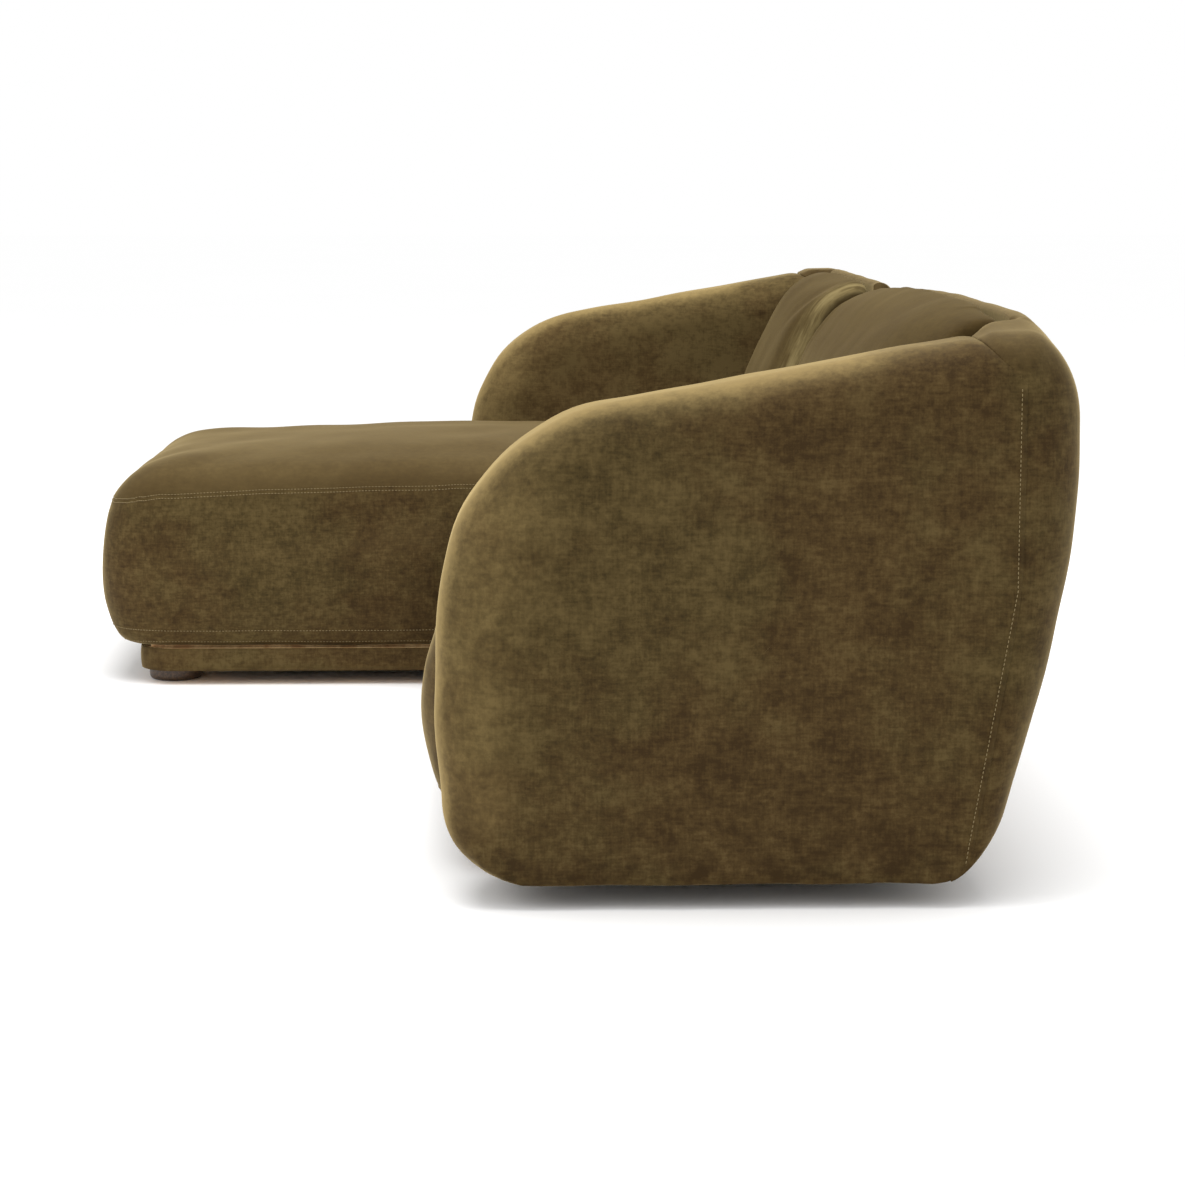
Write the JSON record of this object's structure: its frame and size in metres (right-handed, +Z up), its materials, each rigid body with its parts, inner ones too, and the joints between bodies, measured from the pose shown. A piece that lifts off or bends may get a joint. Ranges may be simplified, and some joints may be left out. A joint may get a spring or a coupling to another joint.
{
  "type": "sectional sofa",
  "caption": "Rounded velvet sectional sofa: a loveseat and a chaise that pull apart, with sloping padded arms, attached back cushions, a recessed plinth and low round feet.",
  "frame": {"origin": "on the floor, at the middle of the sofa's box in plan", "axes": "+X to the right as seen from the front, along the back; +Y to the back; +Z up"},
  "size_m": [2.65, 1.57, 0.8088],
  "materials": {
    "velvet": "short-pile velvet",
    "foam": "open-cell foam",
    "timber": "sawn softwood",
    "plywood": "birch plywood",
    "webbing": "woven elastic",
    "steel": "zinc plated",
    "foot": "satin moulded",
    "dust_cloth": "spun-bonded cloth"
  },
  "bodies": {
    "loveseat": {"connector_tongues": "steel", "loveseat_arm_bolts": "steel", "loveseat_arm_cover": "velvet", "loveseat_arm_foam": "foam", "loveseat_arm_inner_panel": "plywood", "loveseat_arm_outer_panel": "plywood", "loveseat_arm_spacers": "timber", "loveseat_back_cover": "velvet", "loveseat_back_foam": "foam", "loveseat_back_posts": "timber", "loveseat_back_rails": "timber", "loveseat_back_webbing": "webbing", "loveseat_corner_blocks": "timber", "loveseat_cross_rails": "timber", "loveseat_dust_cover": "dust_cloth", "loveseat_foot_studs": "steel", "loveseat_front_inner_foot": "foot", "loveseat_front_outer_foot": "foot", "loveseat_front_rail": "timber", "loveseat_outside_back": "velvet", "loveseat_plinth": "timber", "loveseat_plinth_band": "velvet", "loveseat_rear_inner_foot": "foot", "loveseat_rear_outer_foot": "foot", "loveseat_rear_rail": "timber", "loveseat_seat_cover": "velvet", "loveseat_seat_foam": "foam", "loveseat_seat_webbing": "webbing", "loveseat_side_rails": "timber", "loveseat_tee_nuts": "steel"},
    "chaise": {"chaise_arm_bolts": "steel", "chaise_arm_cover": "velvet", "chaise_arm_foam": "foam", "chaise_arm_inner_panel": "plywood", "chaise_arm_outer_panel": "plywood", "chaise_arm_spacers": "timber", "chaise_back_cover": "velvet", "chaise_back_foam": "foam", "chaise_back_posts": "timber", "chaise_back_rails": "timber", "chaise_back_webbing": "webbing", "chaise_corner_blocks": "timber", "chaise_cross_rails": "timber", "chaise_dust_cover": "dust_cloth", "chaise_foot_studs": "steel", "chaise_front_inner_foot": "foot", "chaise_front_outer_foot": "foot", "chaise_front_rail": "timber", "chaise_outside_back": "velvet", "chaise_plinth": "timber", "chaise_plinth_band": "velvet", "chaise_rear_inner_foot": "foot", "chaise_rear_outer_foot": "foot", "chaise_rear_rail": "timber", "chaise_seat_cover": "velvet", "chaise_seat_foam": "foam", "chaise_seat_webbing": "webbing", "chaise_side_rails": "timber", "chaise_tee_nuts": "steel", "connector_jaws": "steel"}
  },
  "joints": [
    {"name": "chaise_pull_apart", "type": "slide", "parent": "loveseat", "child": "chaise", "axis": [-1, 0, 0], "range_m": [0, 0.4]}
  ]
}
